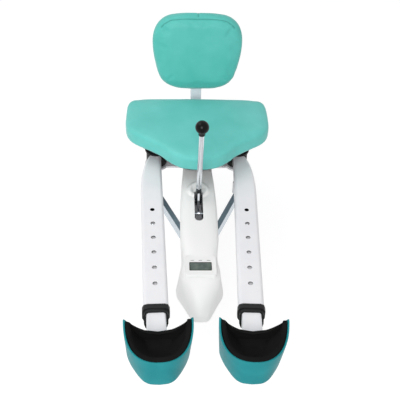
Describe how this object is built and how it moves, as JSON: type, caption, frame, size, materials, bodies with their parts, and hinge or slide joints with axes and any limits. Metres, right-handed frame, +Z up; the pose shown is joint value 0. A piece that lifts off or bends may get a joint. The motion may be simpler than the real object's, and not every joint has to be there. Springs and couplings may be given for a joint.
{
  "type": "leg stretching machine",
  "caption": "Seated leg stretching machine: padded seat and backrest on a floor frame, swinging telescopic leg tubes with ankle cups, and a ratchet lever that spreads them.",
  "frame": {"origin": "on the floor, under the middle of the machine's bounding box", "axes": "+X to the right as seen from the front, which is the sitter's left, +Y from the ankle cups towards the backrest, +Z up"},
  "size_m": [0.412, 1.1982, 0.5748],
  "materials": {
    "white_paint": "white powder coat",
    "black_paint": "black powder coat",
    "white_plastic": "moulded white plastic",
    "teal_leather": "teal synthetic leather, satin",
    "teal_plastic": "moulded teal plastic",
    "foam": "closed-cell black foam",
    "black_plastic": "moulded black plastic",
    "gloss_black": "polished black ball",
    "rubber": "moulded black rubber",
    "chrome": "polished chrome plate",
    "zinc_steel": "zinc plated steel",
    "dark_steel": "oiled dark steel",
    "display_glass": "grey-green display window",
    "plywood": "plain plywood",
    "nylon": "natural nylon"
  },
  "bodies": {
    "base": {"front_foot": "rubber", "cross_foot_cap_left": "rubber", "cross_foot_cap_right": "rubber", "base_spine": "white_paint", "rear_cross_foot": "white_paint", "front_upright": "white_paint", "main_beam": "white_paint", "pedestal": "white_paint", "plate_spacer": "white_paint", "lower_pivot_plate": "white_paint", "back_arm": "white_paint", "back_socket": "white_paint", "upper_pivot_plate": "black_paint", "seat_board": "plywood", "seat_cushion": "teal_leather", "housing_cover": "white_plastic", "display_bezel": "black_plastic", "display_glass": "display_glass", "holding_pawl_pin": "zinc_steel", "seat_bearer_left": "zinc_steel", "seat_bearer_right": "zinc_steel", "gear_plate_left": "zinc_steel", "gear_plate_right": "zinc_steel", "swing_pin_left": "zinc_steel", "swing_pin_right": "zinc_steel"},
    "leg_left": {"leg_tube_left": "white_paint", "pivot_boot_left": "black_plastic", "upper_bush_left": "nylon", "lower_bush_left": "nylon", "collar_left": "black_plastic"},
    "leg_right": {"leg_tube_right": "white_paint", "pivot_boot_right": "black_plastic", "upper_bush_right": "nylon", "lower_bush_right": "nylon", "collar_right": "black_plastic"},
    "extension_left": {"inner_tube_left": "white_paint", "guide_block_left": "nylon", "cup_shell_left": "teal_plastic", "cup_pad_left": "foam"},
    "extension_right": {"inner_tube_right": "white_paint", "guide_block_right": "nylon", "cup_shell_right": "teal_plastic", "cup_pad_right": "foam"},
    "snap_left": {"snap_button_left": "chrome"},
    "snap_right": {"snap_button_right": "chrome"},
    "link_left": {"link_bar_left": "zinc_steel"},
    "link_right": {"link_bar_right": "zinc_steel"},
    "carriage": {"rack_carriage": "zinc_steel"},
    "ratchet_shaft": {"pinion_shaft": "zinc_steel", "ratchet_wheel": "dark_steel"},
    "lever": {"lever_yoke": "chrome", "lever_rod": "chrome", "ball_knob": "gloss_black"},
    "drive_pawl": {"drive_pawl": "chrome"},
    "holding_pawl": {"holding_pawl": "chrome"},
    "backrest": {"back_post": "zinc_steel", "back_board": "plywood", "back_cushion": "teal_leather"},
    "lock_knob": {"star_knob": "black_plastic"}
  },
  "joints": [
    {"name": "leg_swing_left", "type": "hinge", "parent": "base", "child": "leg_left", "pos_m": [-0.117, 0.19834, 0.23], "axis": [0, 0, -1], "range_deg": [0, 85]},
    {"name": "leg_swing_right", "type": "hinge", "parent": "base", "child": "leg_right", "pos_m": [0.117, 0.19834, 0.23], "axis": [0, 0, 1], "range_deg": [0, 86]},
    {"name": "extension_left", "type": "slide", "parent": "leg_left", "child": "extension_left", "axis": [0.0389, -0.9992, 0], "range_m": [-0.054, 0.216]},
    {"name": "snap_left", "type": "slide", "parent": "extension_left", "child": "snap_left", "axis": [0, 0, 1], "range_m": [-0.003, 0.002], "stiffness_N_per_m": 400},
    {"name": "link_pivot_left", "type": "hinge", "parent": "leg_left", "child": "link_left", "pos_m": [-0.11323, 0.10141, 0.166], "axis": [0, 0, 1], "range_deg": [0, 116]},
    {"name": "extension_right", "type": "slide", "parent": "leg_right", "child": "extension_right", "axis": [-0.0389, -0.9992, 0], "range_m": [-0.054, 0.216]},
    {"name": "snap_right", "type": "slide", "parent": "extension_right", "child": "snap_right", "axis": [0, 0, 1], "range_m": [-0.003, 0.002], "stiffness_N_per_m": 400},
    {"name": "link_pivot_right", "type": "hinge", "parent": "leg_right", "child": "link_right", "pos_m": [0.11323, 0.10141, 0.166], "axis": [0, 0, -1], "range_deg": [0, 116]},
    {"name": "carriage_run", "type": "slide", "parent": "base", "child": "carriage", "axis": [0, 1, 0], "range_m": [0, 0.164]},
    {"name": "ratchet_spin", "type": "hinge", "parent": "base", "child": "ratchet_shaft", "pos_m": [0, 0.02834, 0.204], "axis": [1, 0, 0], "range_deg": [0, 672]},
    {"name": "lever_stroke", "type": "hinge", "parent": "base", "child": "lever", "pos_m": [0, 0.02834, 0.204], "axis": [1, 0, 0], "range_deg": [0, 55]},
    {"name": "drive_pawl_pivot", "type": "hinge", "parent": "lever", "child": "drive_pawl", "pos_m": [0, 0.02098, 0.23924], "axis": [-1, 0, 0], "range_deg": [0, 12], "stiffness_Nm_per_rad": 0.05},
    {"name": "holding_pawl_pivot", "type": "hinge", "parent": "base", "child": "holding_pawl", "pos_m": [0, -0.01966, 0.2], "axis": [-1, 0, 0], "range_deg": [0, 12], "stiffness_Nm_per_rad": 0.05},
    {"name": "backrest_height", "type": "slide", "parent": "base", "child": "backrest", "axis": [0, 0.1668, 0.986], "range_m": [0, 0.06]},
    {"name": "lock_knob_turn", "type": "hinge", "parent": "base", "child": "lock_knob", "pos_m": [0, 0.41718, 0.18494], "axis": [0, 0.986, -0.1668], "continuous": true}
  ],
  "couplings": [
    {"joint": "leg_swing_right", "follows": "leg_swing_left", "ratio": 1},
    {"joint": "link_pivot_left", "follows": "leg_swing_left", "ratio": 1.3621},
    {"joint": "link_pivot_right", "follows": "leg_swing_left", "ratio": 1.3621},
    {"joint": "carriage_run", "follows": "leg_swing_left", "m_per_rad": 0.11026},
    {"joint": "ratchet_spin", "follows": "leg_swing_left", "ratio": 7.8755}
  ]
}
